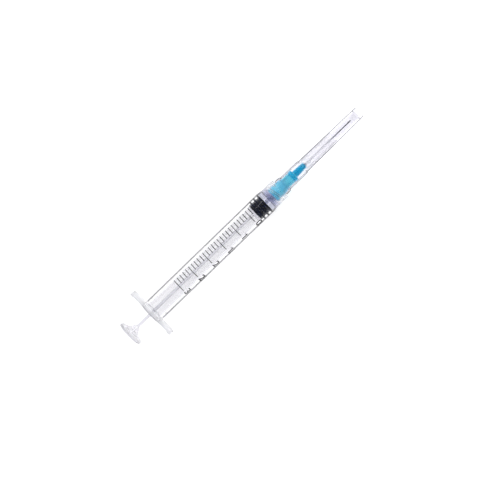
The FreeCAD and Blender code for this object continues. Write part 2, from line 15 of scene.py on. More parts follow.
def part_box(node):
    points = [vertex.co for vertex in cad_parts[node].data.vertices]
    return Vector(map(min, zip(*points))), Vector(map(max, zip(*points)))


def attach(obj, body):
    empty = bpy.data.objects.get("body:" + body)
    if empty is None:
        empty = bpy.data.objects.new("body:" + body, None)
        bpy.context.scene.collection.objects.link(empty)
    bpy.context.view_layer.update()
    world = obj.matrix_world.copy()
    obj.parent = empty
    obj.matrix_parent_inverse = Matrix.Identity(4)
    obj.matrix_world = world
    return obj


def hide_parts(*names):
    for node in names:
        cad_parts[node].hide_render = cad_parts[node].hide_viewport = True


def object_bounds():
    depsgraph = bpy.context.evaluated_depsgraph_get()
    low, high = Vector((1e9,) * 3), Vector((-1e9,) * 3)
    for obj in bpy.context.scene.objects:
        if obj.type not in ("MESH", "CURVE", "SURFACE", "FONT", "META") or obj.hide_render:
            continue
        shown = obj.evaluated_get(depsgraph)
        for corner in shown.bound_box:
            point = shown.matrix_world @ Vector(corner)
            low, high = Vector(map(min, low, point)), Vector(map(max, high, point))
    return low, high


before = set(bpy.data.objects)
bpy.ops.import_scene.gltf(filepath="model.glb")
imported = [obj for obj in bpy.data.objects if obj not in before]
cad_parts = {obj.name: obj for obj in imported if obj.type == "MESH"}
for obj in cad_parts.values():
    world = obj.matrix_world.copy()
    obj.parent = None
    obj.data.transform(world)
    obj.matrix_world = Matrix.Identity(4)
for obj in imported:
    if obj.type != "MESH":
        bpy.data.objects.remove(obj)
cad_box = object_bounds()

MM = 0.001
FULL_TURN = 2 * math.pi
SHARP = math.radians(38)

# The usual softened edge, and how deep an added shape starts inside what carries it
EDGE = 0.2
SUNK = 0.2

# Steps of a spin
FINE = 144
SNAP_STEPS = 96
THREAD_STEPS = 72
GLUE_STEPS = 64
NEEDLE_STEPS = 48
TICK_STEPS = 24
LUG_STEPS = 16


def ends(node):
    """Where a node starts and ends along the axis, in millimetres."""
    low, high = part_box(node)
    return low.x / MM, high.x / MM


def half_width(node):
    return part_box(node)[1].y / MM


# Barrel
NOZZLE_FRONT = ends("barrel")[1]
NOZZLE_TAPER = 0.03
COLLAR_MOUTH = NOZZLE_FRONT - 2.1
COLLAR_BACK = COLLAR_MOUTH - 6.4
COLLAR_FLOOR = COLLAR_MOUTH - 6.95
COLLAR = 4.8
COLLAR_BORE = 4.0
COLLAR_FILLET = 0.25
SHOULDER = COLLAR_BACK - 2.1
SHOULDER_ROUND = 0.6
TUBE = 5.2
FLANGE_BACK = -1.45
FLANGE_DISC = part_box("barrel")[1].z / MM
FLANGE_FILLET = 0.8
WING_TIP = half_width("barrel")
WING_HALF_DEPTH = 3.8
WING_CORNER = 2.6
WING_FILLET = 0.6
WING_OVERLAP = 0.3
RIDGE_WIDTH = 2.0
RIDGE_HEIGHT = 0.35
THREAD_CREST = 3.525
THREAD_CREST_HALF = 0.25
THREAD_ROOT_HALF = 0.6
THREAD_FLANK = 0.5263
THREAD_LEAD = 5.0
THREAD_TURNS = 0.9
THREAD_BACK = COLLAR_MOUTH - 0.85 - THREAD_TURNS * THREAD_LEAD
NOZZLE_TIP = 1.9625
NOZZLE_ROOT = NOZZLE_TIP + (NOZZLE_FRONT - COLLAR_FLOOR) * NOZZLE_TAPER
PASSAGE = 1.05
NOSE_CONE = 0.3
STOPPER_GAP = 0.05
BORE = 4.33
BORE_END = ends("stopper")[1] - NOSE_CONE + STOPPER_GAP
BORE_MOUTH = 0.3
BEAD = 2.6
BEAD_WIDTH = 1.5
BEAD_CREST = 0.45
BEAD_HEIGHT = 0.22

# Stopper
STOPPER_BACK = ends("stopper")[0]
STOPPER_FRONT = BORE_END - STOPPER_GAP
RINGS = 3
RING = BORE + 0.015
RING_WIDTH = 1.0
RING_ROUND = 0.22
GROOVE = 3.85
GROOVE_ROUND = 0.25
BACK_STEP = RING - 0.3
BACK_STEP_WIDTH = 0.85
RING_GAP = (STOPPER_FRONT - STOPPER_BACK - BACK_STEP_WIDTH - RINGS * RING_WIDTH) / (RINGS - 1)

# Plunger rod
FIT = 0.06
THUMB_RINGS = 3
THUMB_RING_GAP = 1.5
THUMB_RING_FOOT = 0.25
THUMB_RING_CREST = 0.12
THUMB_RING_HEIGHT = 0.15
THUMB_BACK = ends("plunger_rod")[0] + THUMB_RING_HEIGHT
THUMB_FRONT = THUMB_BACK + 1.35
THUMB = half_width("plunger_rod")
THUMB_ROUND = 0.45
THUMB_CONE = 3.3
THUMB_CONE_ROUND = 0.5
THUMB_CONE_END = THUMB_FRONT + 4.2
ROD_DISC_FRONT = STOPPER_BACK - FIT
ROD_DISC_BACK = ROD_DISC_FRONT - 1.3
ROD_DISC = 3.95
ROD_HALF_WIDTH = 3.65
ROD_RIB = 0.85
ROD_FILLET = 0.25
NECK = 1.6
HEAD = 2.4
HEAD_BACK = ROD_DISC_FRONT + 1.5
HEAD_RIM = 0.75
HEAD_LENGTH = 1.9
HEAD_NOSE = 1.3

# Needle hub
HUB_BACK = ends("needle_hub")[0]
FOOT_FRONT = HUB_BACK + 1.6
FOOT = 3.3
FOOT_ROUND = 0.12
HUB_BODY = 3.15
HUB_CORE = 2.15
HUB_ROUND = 0.25
FINS_BACK = FOOT_FRONT + 5.2
FINS_FRONT = FINS_BACK + 4.5
FINS = 4
FIN = 2.75
FIN_SLOPE = 1.1
FIN_THICKNESS = 0.8
FIN_OVERLAP = 0.1
FIN_TURN = math.radians(45)
RING_FRONT = FINS_FRONT + 1.6
HUB_RING = 2.8
NOSE_FRONT = ends("needle_hub")[1]
NOSE_WIDE = 1.65
NOSE_SLIM = 1.35
NOSE_FILLET = 0.4
NOSE_ROUND = 0.35
SOCKET_DEPTH = 7.2
SOCKET_FRONT = HUB_BACK + SOCKET_DEPTH
SOCKET_MOUTH = NOZZLE_TIP + 0.225
WELL = 0.85
WELL_BACK = NOSE_FRONT - 2.2
WAIST = 0.75
WAIST_FRONT = ends("cannula")[0]
LUG = 3.9
LUG_TIP_WIDTH = 0.6
LUG_BASE_WIDTH = LUG_TIP_WIDTH + (LUG - FOOT) * 2 * THREAD_FLANK
LUG_ROOT_SPREAD = 0.105
LUG_TURNS = 0.12
LUG_INSET = 0.15
LUG_GAP = 0.06

# Needle and glue
NEEDLE = half_width("cannula")
NEEDLE_BORE = 0.17
NEEDLE_TIP = ends("cannula")[1]
BEVEL_LENGTH = 2.7
LANCET_LENGTH = 1.3
LANCET_TURN = math.radians(32)
GLUE_BACK, GLUE_FRONT = ends("needle_bond")
GLUE_GAP = 0.03

# Cap
CAP_MOUTH, CAP_FRONT = ends("needle_cap")
CAP_GRIP_BACK = CAP_MOUTH + 2.4
CAP_STEP = CAP_GRIP_BACK + 10.3
CAP_SLOPE = 0.6
CAP_SKIRT = half_width("needle_cap")
CAP_SKIRT_BORE = CAP_SKIRT - 0.55
CAP_GRIP = 3.375
CAP_WIDE = 3.0
CAP_SLIM = 2.65
CAP_WALL = 0.6
CAP_END = 1.7
CAP_END_ROUND = 0.5
CAP_FLOOR_ROUND = 0.4
CAP_SEAT = FINS_BACK + 0.08
CAP_RING_BORE = HUB_RING + 0.04
CAP_RIBS = 3
CAP_RIB_TURN = math.radians(52)
CAP_RIB_HALF = 0.2
CAP_RIB_HEIGHT = 0.35
CAP_RIB_RAMP = 2.0
CAP_RIB_LENGTH = 18.0
CAP_RIB_BACK = CAP_STEP + CAP_SLOPE
CAP_RIB_END = CAP_RIB_BACK + CAP_RIB_LENGTH

# Printed scale. The numbers' weight, facets and flag are in the letters' own units.
ZERO_MARK = 67.1
MILLILITRE = 50.93 / 3
SCALE_TENTHS = 30
INK_WIDTH = 0.34
INK_RISE = 0.012
INK_SUNK = 0.01
TICK_START = math.radians(40)
SHORT_TICK_END = math.radians(3.0)
LONG_TICK_END = math.radians(-31.6)
DIGIT_START = math.radians(-41)
DIGIT_HEIGHT = 3.3
DIGIT_DROP = 0.7
DIGIT_WEIGHT = 0.018
DIGIT_FACET = 0.12
FLAG_SIZE = (0.26, 0.08, 1.0)
FLAG_LEAN = math.radians(38)
FLAG_LEFT = 0.06
FLAG_DROP = 0.13

# Painted shade in dark rims of clear plastic: the squareness over which they fade, the millimetres in
# which they start and end, and what is left of them past their end. A limit at a radius is RADIUS_BLUR
# soft.
RIM_BAND = (0.44, 0.58)
RIM_END = 1.5
RIM_REST = 0.25
RADIUS_BLUR = 0.05
NEVER_ZERO = 0.0001

# Camera, in millimetres, and floor and lamp, in metres
CAMERA_SPOT = (78.0, -3.87, 500.0)
CAMERA_AIM = (48.3, -3.87, 0.0)
CAMERA_SLOPE = math.radians(44.0)
CAMERA_LENS = 87.5
CAMERA_SENSOR = 36.0
FLOOR_SIZE = 4.0
FLOOR_GAP = 0.0001
FLOOR_COLOUR = (0.86, 0.86, 0.86)
FLOOR_GLOW = 0.38
FLOOR_GLOW_THROUGH = 0.16
ROOM_LEVELS = ((0.1, 0.68), (0.35, 0.2), (0.75, 0.08), (0.97, 0.016))
LAMP_SPOT = (-0.45, 0.55, 0.75)
LAMP_AIM = (0.05, 0, 0)
LAMP_SIZE = 0.9
LAMP_POWER = 3.2
LAMP_GLOSS = 0.4
BOUNCES = 32


def spun(profile, steps=FINE):
    """A solid of revolution about X, from (place along the axis, radius) pairs in order."""
    shape = bmesh.new()
    corners = [shape.verts.new((along * MM, 0, radius * MM)) for along, radius in profile]
    for first, second in zip(corners, corners[1:] + corners[:1]):
        if first.co.z > 0 or second.co.z > 0:
            shape.edges.new((first, second))
    bmesh.ops.spin(shape, geom=shape.verts[:] + shape.edges[:], cent=(0, 0, 0), axis=(1, 0, 0),
                   dvec=(0, 0, 0), angle=FULL_TURN, steps=steps, use_merge=True, use_duplicate=False)
    bmesh.ops.remove_doubles(shape, verts=shape.verts[:], dist=1e-7)
    bmesh.ops.recalc_face_normals(shape, faces=shape.faces[:])
    return shape


def circle_edges(shape, along, radius):
    """Edges of the circle about the axis at one place and radius, in millimetres."""
    def on_circle(vert):
        return (abs(vert.co.x - along * MM) < 1e-6
                and abs(math.hypot(vert.co.y, vert.co.z) - radius * MM) < 1e-6)
    return [edge for edge in shape.edges if on_circle(edge.verts[0]) and on_circle(edge.verts[1])]


def soften(shape, edges, radius, segments=4):
    bmesh.ops.bevel(shape, geom=edges, offset=radius * MM, offset_type="OFFSET", segments=segments,
                    profile=0.5, affect="EDGES", clamp_overlap=True, material=-1)


def soften_rings(shape, places, radius, segments=4):
    edges = [edge for along, ring in places for edge in circle_edges(shape, along, ring)]
    soften(shape, edges, radius, segments)


def block(low, high):
    """A box between two corners, in millimetres."""
    shape = bmesh.new()
    size = [(top - bottom) * MM for bottom, top in zip(low, high)]
    middle = [(top + bottom) / 2 * MM for bottom, top in zip(low, high)]
    bmesh.ops.create_cube(shape, size=1.0)
    bmesh.ops.scale(shape, vec=size, verts=shape.verts[:])
    bmesh.ops.translate(shape, vec=middle, verts=shape.verts[:])
    return shape


def turned(shape, angle):
    """Turn a shape about the axis."""
    turn = Matrix.Rotation(angle, 3, "X")
    bmesh.ops.rotate(shape, cent=(0, 0, 0), matrix=turn, verts=shape.verts[:])
    return shape


def long_edges(shape, test):
    """Edges along X whose middle passes a test, given in millimetres."""
    found = []
    for edge in shape.edges:
        run = edge.verts[1].co - edge.verts[0].co
        middle = (edge.verts[0].co + edge.verts[1].co) / 2 / MM
        if run.length > 0 and abs(run.x) / run.length > 0.999 and test(middle):
            found.append(edge)
    return found


def screwed(outline, start, turns, lead, steps):
    """A ridge: an outline of (place, radius) pairs swept along a right-hand screw about X."""
    shape = bmesh.new()
    side, up = math.sin(start), math.cos(start)
    corners = [shape.verts.new((along * MM, radius * MM * side, radius * MM * up))
               for along, radius in outline]
    face = shape.faces.new(corners)
    bmesh.ops.spin(shape, geom=[face], cent=(0, 0, 0), axis=(1, 0, 0),
                   dvec=(lead * turns / steps * MM, 0, 0), angle=FULL_TURN * turns, steps=steps,
                   use_merge=False, use_duplicate=False)
    bmesh.ops.recalc_face_normals(shape, faces=shape.faces[:])
    return shape


def new_object(name, shape):
    mesh = bpy.data.meshes.new(name)
    shape.to_mesh(mesh)
    shape.free()
    thing = bpy.data.objects.new(name, mesh)
    bpy.context.scene.collection.objects.link(thing)
    return thing


def settled(thing):
    """A mesh of what an object looks like with its modifiers or letters worked out."""
    bpy.context.view_layer.update()
    return bpy.data.meshes.new_from_object(thing.evaluated_get(bpy.context.evaluated_depsgraph_get()))


def joined(name, base, others, operation="UNION"):
    """One closed shape from a base shape and others added to it or cut from it."""
    thing = new_object(name, base)
    helpers = []
    for number, shape in enumerate(others):
        helper = new_object(f"{name}_{number}", shape)
        helpers.append(helper)
        step = thing.modifiers.new(f"join_{number}", "BOOLEAN")
        step.operation = operation
        step.solver = "EXACT"
        step.object = helper
    final = settled(thing)
    bpy.data.objects.remove(thing)
    for helper in helpers:
        bpy.data.objects.remove(helper)
    shape = bmesh.new()
    shape.from_mesh(final)
    bpy.data.meshes.remove(final)
    return shape


def finished(name, shape, material, node, body):
    """Turn a shape into a piece that stands for a node: smooth, with flat faces kept flat."""
    piece = new_object(name, shape)
    mesh = piece.data
    mesh.shade_smooth()
    mesh.set_sharp_from_angle(angle=SHARP)
    mesh.materials.append(material)
    even = piece.modifiers.new("even_normals", "WEIGHTED_NORMAL")
    even.keep_sharp = True
    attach(piece, body)
    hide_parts(node)


def new_material(name):
    material = bpy.data.materials.new(name)
    material.use_nodes = True
    material.node_tree.nodes.clear()
    return material


def add(tree, kind, **values):
    """A node with its plain settings and its sockets' values."""
    node = tree.nodes.new(kind)
    for key, value in values.items():
        if key in node.inputs:
            node.inputs[key].default_value = value
        else:
            setattr(node, key, value)
    return node


def build_moulding_group():
    """Slow ripples and fine scuffs of a moulded surface, as a normal and a roughness."""
    group = bpy.data.node_groups.new("moulded_surface", "ShaderNodeTree")
    defaults = (("Ripple Size", 400.0), ("Ripple", 0.1), ("Smoothness", 0.03), ("Scuffs", 0.08))
    for label, default in defaults:
        socket = group.interface.new_socket(label, in_out="INPUT", socket_type="NodeSocketFloat")
        socket.default_value = default
    group.interface.new_socket("Normal", in_out="OUTPUT", socket_type="NodeSocketVector")
    group.interface.new_socket("Roughness", in_out="OUTPUT", socket_type="NodeSocketFloat")
    group.interface.new_socket("Mask", in_out="OUTPUT", socket_type="NodeSocketFloat")
    inputs = group.nodes.new("NodeGroupInput")
    outputs = group.nodes.new("NodeGroupOutput")
    place = add(group, "ShaderNodeTexCoord")
    drawn = add(group, "ShaderNodeMapping")
    drawn.inputs["Scale"].default_value = (0.25, 1.0, 1.0)
    ripples = add(group, "ShaderNodeTexNoise", Detail=2.0, Roughness=0.4)
    scuffs = add(group, "ShaderNodeTexNoise", Scale=2600.0, Detail=4.0, Roughness=0.62)
    ramp = add(group, "ShaderNodeMapRange")
    ramp.inputs["From Min"].default_value = 0.5
    ramp.inputs["From Max"].default_value = 0.72
    bump = add(group, "ShaderNodeBump", Distance=0.00004)
    scaled = add(group, "ShaderNodeMath", operation="MULTIPLY")
    total = add(group, "ShaderNodeMath", operation="ADD")
    link = group.links.new
    link(place.outputs["Object"], drawn.inputs["Vector"])
    link(drawn.outputs["Vector"], ripples.inputs["Vector"])
    link(inputs.outputs["Ripple Size"], ripples.inputs["Scale"])
    link(drawn.outputs["Vector"], scuffs.inputs["Vector"])
    link(scuffs.outputs["Fac"], ramp.inputs["Value"])
    link(ripples.outputs["Fac"], bump.inputs["Height"])
    link(inputs.outputs["Ripple"], bump.inputs["Strength"])
    link(ramp.outputs["Result"], scaled.inputs[0])
    link(inputs.outputs["Scuffs"], scaled.inputs[1])
    link(scaled.outputs["Value"], total.inputs[0])
    link(inputs.outputs["Smoothness"], total.inputs[1])
    link(bump.outputs["Normal"], outputs.inputs["Normal"])
    link(total.outputs["Value"], outputs.inputs["Roughness"])
    link(ramp.outputs["Result"], outputs.inputs["Mask"])
    return group


def moulded(tree, group, ripple_size, ripple, smoothness, scuffs):
    node = tree.nodes.new("ShaderNodeGroup")
    node.node_tree = group
    node.inputs["Ripple Size"].default_value = ripple_size
    node.inputs["Ripple"].default_value = ripple
    node.inputs["Smoothness"].default_value = smoothness
    node.inputs["Scuffs"].default_value = scuffs
    return node


def faded(tree, source, low, high, bottom=0.0, top=1.0):
    """A value that goes smoothly from bottom to top while the source goes from low to high."""
    fade = add(tree, "ShaderNodeMapRange", interpolation_type="SMOOTHSTEP")
    for label, value in (("From Min", low), ("From Max", high), ("To Min", bottom), ("To Max", top)):
        fade.inputs[label].default_value = value
    tree.links.new(source, fade.inputs["Value"])
    return fade.outputs["Result"]


def times(tree, first, second):
    both = add(tree, "ShaderNodeMath", operation="MULTIPLY")
    tree.links.new(first, both.inputs[0])
    tree.links.new(second, both.inputs[1])
    return both.outputs["Value"]


def less(tree, whole, part):
    rest = add(tree, "ShaderNodeMath", operation="SUBTRACT")
    rest.inputs[0].default_value = whole
    tree.links.new(part, rest.inputs[1])
    return rest.outputs["Value"]


def squareness(tree):
    """How squarely a surface faces the eye around the axis, from 0 at a tube's outline to 1.

    How far the eye looks along the axis is taken out, so a tube seen nearly end on stays clear.
    NEVER_ZERO keeps the division sound for an eye that looks straight along the axis.
    """
    axis = add(tree, "ShaderNodeCombineXYZ", X=1.0)
    endwise = add(tree, "ShaderNodeLayerWeight", Blend=0.5)
    tree.links.new(axis.outputs["Vector"], endwise.inputs["Normal"])
    aside = add(tree, "ShaderNodeLayerWeight", Blend=0.5)
    lengthwise = less(tree, 1.0, endwise.outputs["Facing"])
    squared = times(tree, lengthwise, lengthwise)
    across = add(tree, "ShaderNodeMath", operation="SQRT")
    tree.links.new(less(tree, 1.0 + NEVER_ZERO, squared), across.inputs[0])
    share = add(tree, "ShaderNodeMath", operation="DIVIDE")
    tree.links.new(less(tree, 1.0, aside.outputs["Facing"]), share.inputs[0])
    tree.links.new(across.outputs["Value"], share.inputs[1])
    return share.outputs["Value"]


def mixed(tree, factor, base, colour, blend="MIX"):
    """The base colour with another mixed in by a factor. Either colour may be a plain one."""
    node = add(tree, "ShaderNodeMix", data_type="RGBA", blend_type=blend)
    for label, value in (("Factor", factor), ("A", base), ("B", colour)):
        socket = node.inputs[label]
        if isinstance(value, tuple):
            socket.default_value = (*value, 1)
        elif isinstance(value, float):
            socket.default_value = value
        else:
            tree.links.new(value, socket)
    return node.outputs["Result"]


def fill_ramp(ramp, stops):
    """Give a colour ramp its stops, as (position, colour) pairs in order."""
    steps = ramp.elements
    steps[0].position = stops[0][0]
    steps[1].position = stops[-1][0]
    steps[0].color = (*stops[0][1], 1)
    steps[1].color = (*stops[-1][1], 1)
    for position, colour in stops[1:-1]:
        steps.new(position).color = (*colour, 1)


def shades_along(tree, along, stops):
    """Colours set at places along the axis, in millimetres, and blended between them."""
    first, last = stops[0][0], stops[-1][0]
    run = add(tree, "ShaderNodeMapRange")
    run.inputs["From Min"].default_value = first * MM
    run.inputs["From Max"].default_value = last * MM
    shades = add(tree, "ShaderNodeValToRGB")
    fill_ramp(shades.color_ramp, [((place - first) / (last - first), shade) for place, shade in stops])
    tree.links.new(along, run.inputs["Value"])
    tree.links.new(run.outputs["Result"], shades.inputs["Fac"])
    return shades.outputs["Color"]


def beyond(tree, distance, radius):
    """0 nearer to the axis than a radius in millimetres, and 1 further from it."""
    return faded(tree, distance, (radius - RADIUS_BLUR) * MM, (radius + RADIUS_BLUR) * MM)


def see_through_plastic(name, group, clean, worn, painted_rim_shade, milk, absorbed, density, ior=1.49,
                        rim_reach=None, rim_radius=None, frosted=None, shades=None, edges=None):
    """Clear or tinted moulded plastic, with painted shade as a dark rim where it turns from the eye.

    Lamps shine through it, so what it holds is lit. Places are millimetres along the axis: the painted
    dark rims keep to rim_reach and outside rim_radius, frosted is what the roughness grows by at each
    place, shades are the painted shade that the colour is multiplied by at each place, and edges are
    a radius and the painted shades for what stands further from the axis than that radius.
    """
    material = new_material(name)
    tree = material.node_tree
    link = tree.links.new
    surface = moulded(tree, group, ripple_size=260.0, ripple=0.03, smoothness=0.01, scuffs=0.04)
    place = add(tree, "ShaderNodeTexCoord")
    parts = add(tree, "ShaderNodeSeparateXYZ")
    link(place.outputs["Object"], parts.inputs["Vector"])
    along = parts.outputs["X"]
    flat = add(tree, "ShaderNodeVectorMath", operation="MULTIPLY")
    flat.inputs[1].default_value = (0, 1, 1)
    length = add(tree, "ShaderNodeVectorMath", operation="LENGTH")
    link(place.outputs["Object"], flat.inputs[0])
    link(flat.outputs["Vector"], length.inputs[0])
    distance = length.outputs["Value"]
    colour = mixed(tree, surface.outputs["Mask"], clean, worn)
    # Painted shade: the colour is darkened or tinted at places along the axis.
    if shades is not None:
        colour = mixed(tree, 1.0, colour, shades_along(tree, along, shades), "MULTIPLY")
    # Painted shade on what stands further from the axis than a radius.
    if edges is not None:
        radius, painted_edge_shades = edges
        far = beyond(tree, distance, radius)
        shaded = mixed(tree, 1.0, colour, shades_along(tree, along, painted_edge_shades), "MULTIPLY")
        colour = mixed(tree, far, colour, shaded)
    # Painted shade: a rim colour mixed in where the surface turns away from the eye.
    painted_rim_mask = faded(tree, squareness(tree), *RIM_BAND, 1.0, 0.0)
    if rim_radius is not None:
        painted_rim_mask = times(tree, painted_rim_mask, beyond(tree, distance, rim_radius))
    if rim_reach is not None:
        start, finish = rim_reach
        starting = faded(tree, along, start * MM, (start + RIM_END) * MM)
        ending = faded(tree, along, (finish - RIM_END) * MM, finish * MM, 1.0, RIM_REST)
        painted_rim_mask = times(tree, times(tree, painted_rim_mask, starting), ending)
    colour = mixed(tree, painted_rim_mask, colour, painted_rim_shade)
    roughness = surface.outputs["Roughness"]
    if frosted is not None:
        haze = add(tree, "ShaderNodeMath", operation="ADD")
        frost = [(spot, (amount, amount, amount)) for spot, amount in frosted]
        link(shades_along(tree, along, frost), haze.inputs[0])
        link(roughness, haze.inputs[1])
        roughness = haze.outputs["Value"]
    shader = add(tree, "ShaderNodeBsdfPrincipled", IOR=ior)
    shader.inputs["Transmission Weight"].default_value = 1.0 - milk
    light = add(tree, "ShaderNodeLightPath")
    through = add(tree, "ShaderNodeBsdfTransparent")
    through.inputs["Color"].default_value = (*[0.5 + 0.5 * part for part in clean], 1)
    mix = add(tree, "ShaderNodeMixShader")
    depth = add(tree, "ShaderNodeVolumeAbsorption", Density=density)
    depth.inputs["Color"].default_value = (*absorbed, 1)
    out = add(tree, "ShaderNodeOutputMaterial")
    link(colour, shader.inputs["Base Color"])
    link(roughness, shader.inputs["Roughness"])
    link(surface.outputs["Normal"], shader.inputs["Normal"])
    link(light.outputs["Is Shadow Ray"], mix.inputs["Fac"])
    link(shader.outputs["BSDF"], mix.inputs[1])
    link(through.outputs["BSDF"], mix.inputs[2])
    link(mix.outputs["Shader"], out.inputs["Surface"])
    link(depth.outputs["Volume"], out.inputs["Volume"])
    return material


def solid_surface(name, group, base, second, roughness, metallic=0.0, ripple=0.15, scuffs=0.1,
                  specular=0.5):
    """An opaque surface whose colour and gloss wander a little."""
    material = new_material(name)
    tree = material.node_tree
    surface = moulded(tree, group, 900.0, ripple, roughness, scuffs)
    colour = mixed(tree, surface.outputs["Mask"], base, second)
    shader = add(tree, "ShaderNodeBsdfPrincipled", Metallic=metallic)
    shader.inputs["Specular IOR Level"].default_value = specular
    out = add(tree, "ShaderNodeOutputMaterial")
    link = tree.links.new
    link(colour, shader.inputs["Base Color"])
    link(surface.outputs["Roughness"], shader.inputs["Roughness"])
    link(surface.outputs["Normal"], shader.inputs["Normal"])
    link(shader.outputs["BSDF"], out.inputs["Surface"])
    return material


def make_barrel(material):
    """Tube, flange disc, nozzle and collar as one turned solid, then wings and threads."""
    bead_middle = BEAD + BEAD_WIDTH / 2
    tube = spun([
        (FLANGE_BACK, BORE + BORE_MOUTH),
        (FLANGE_BACK, FLANGE_DISC),
        (0, FLANGE_DISC),
        (0, TUBE),
        (SHOULDER, TUBE),
        (COLLAR_BACK, COLLAR),
        (COLLAR_MOUTH, COLLAR),
        (COLLAR_MOUTH, COLLAR_BORE),
        (COLLAR_FLOOR, COLLAR_BORE),
        (COLLAR_FLOOR, NOZZLE_ROOT),
        (NOZZLE_FRONT, NOZZLE_TIP),
        (NOZZLE_FRONT, PASSAGE),
        (BORE_END + NOSE_CONE, PASSAGE),
        (BORE_END, BORE),
        (BEAD + BEAD_WIDTH, BORE),
        (bead_middle + BEAD_CREST / 2, BORE - BEAD_HEIGHT),
        (bead_middle - BEAD_CREST / 2, BORE - BEAD_HEIGHT),
        (BEAD, BORE),
        (FLANGE_BACK + BORE_MOUTH, BORE),
    ])
    soften_rings(tube, [(0, TUBE)], FLANGE_FILLET, 6)
    soften_rings(tube, [(SHOULDER, TUBE), (COLLAR_BACK, COLLAR)], SHOULDER_ROUND, 5)
    soften_rings(tube, [(COLLAR_MOUTH, COLLAR), (NOZZLE_FRONT, NOZZLE_TIP), (COLLAR_MOUTH, COLLAR_BORE),
                        (FLANGE_BACK, FLANGE_DISC), (0, FLANGE_DISC)], EDGE)
    soften_rings(tube, [(COLLAR_FLOOR, COLLAR_BORE), (COLLAR_FLOOR, NOZZLE_ROOT)], COLLAR_FILLET)
    additions = []
    for side in (-1, 1):
        near, far = sorted((side * (TUBE - WING_OVERLAP), side * WING_TIP))
        wing = block((FLANGE_BACK, near, -WING_HALF_DEPTH), (0, far, WING_HALF_DEPTH))
        ridge_line = side * (WING_TIP - RIDGE_WIDTH) * MM
        bmesh.ops.bisect_plane(wing, geom=wing.verts[:] + wing.edges[:] + wing.faces[:], dist=1e-7,
                               plane_co=(0, ridge_line, 0), plane_no=(0, 1, 0))
        tip_back = [face for face in wing.faces if face.normal.x < -0.9
                    and abs(face.calc_center_median().y) > abs(ridge_line)]
        raised = bmesh.ops.extrude_face_region(wing, geom=tip_back)
        bmesh.ops.delete(wing, geom=tip_back, context="FACES")
        verts = [part for part in raised["geom"] if isinstance(part, bmesh.types.BMVert)]
        bmesh.ops.translate(wing, vec=(-RIDGE_HEIGHT * MM, 0, 0), verts=verts)
        bmesh.ops.recalc_face_normals(wing, faces=wing.faces[:])
        corners = long_edges(wing, lambda spot: abs(abs(spot.y) - WING_TIP) < 0.01)
        soften(wing, corners, WING_CORNER, 10)
        additions.append(wing)
    for start in (0, math.pi):
        additions.append(screwed([
            (THREAD_BACK - THREAD_ROOT_HALF, COLLAR_BORE + SUNK),
            (THREAD_BACK - THREAD_CREST_HALF, THREAD_CREST),
            (THREAD_BACK + THREAD_CREST_HALF, THREAD_CREST),
            (THREAD_BACK + THREAD_ROOT_HALF, COLLAR_BORE + SUNK),
        ], start, THREAD_TURNS, THREAD_LEAD, THREAD_STEPS))
    whole = joined("barrel_shell", tube, additions)
    wing_root = math.sqrt(FLANGE_DISC ** 2 - WING_HALF_DEPTH ** 2)
    roots = long_edges(whole, lambda spot: abs(abs(spot.z) - WING_HALF_DEPTH) < 0.02
                       and abs(abs(spot.y) - wing_root) < 0.05)
    soften(whole, roots, WING_FILLET, 5)
    finished("barrel_shell", whole, material, "barrel", "barrel")


def make_stopper(material):
    """Three sealing rings around a hollow that holds the rod's head."""
    first_ring = STOPPER_BACK + BACK_STEP_WIDTH
    rings = [first_ring + number * (RING_WIDTH + RING_GAP) for number in range(RINGS)]
    profile = [(STOPPER_BACK, NECK + FIT), (STOPPER_BACK, BACK_STEP), (first_ring, BACK_STEP)]
    for number, start in enumerate(rings):
        profile += [(start, RING), (start + RING_WIDTH, RING)]
        if number < RINGS - 1:
            profile += [(start + RING_WIDTH, GROOVE), (rings[number + 1], GROOVE)]
    profile += [
        (STOPPER_FRONT + NOSE_CONE, PASSAGE),
        (STOPPER_FRONT + NOSE_CONE, 0),
        (HEAD_BACK + HEAD_LENGTH + FIT, 0),
        (HEAD_BACK + HEAD_LENGTH + FIT, HEAD_NOSE + FIT),
        (HEAD_BACK + HEAD_RIM + FIT, HEAD + FIT),
        (HEAD_BACK - FIT, HEAD + FIT),
        (HEAD_BACK - FIT, NECK + FIT),
    ]
    shape = spun(profile)
    for start in rings:
        soften_rings(shape, [(start, RING), (start + RING_WIDTH, RING)], RING_ROUND)
        soften_rings(shape, [(start, GROOVE), (start + RING_WIDTH, GROOVE)], GROOVE_ROUND, 3)
    soften_rings(shape, [(STOPPER_BACK, BACK_STEP)], EDGE, 3)
    finished("rubber_stopper", shape, material, "stopper", "stopper")


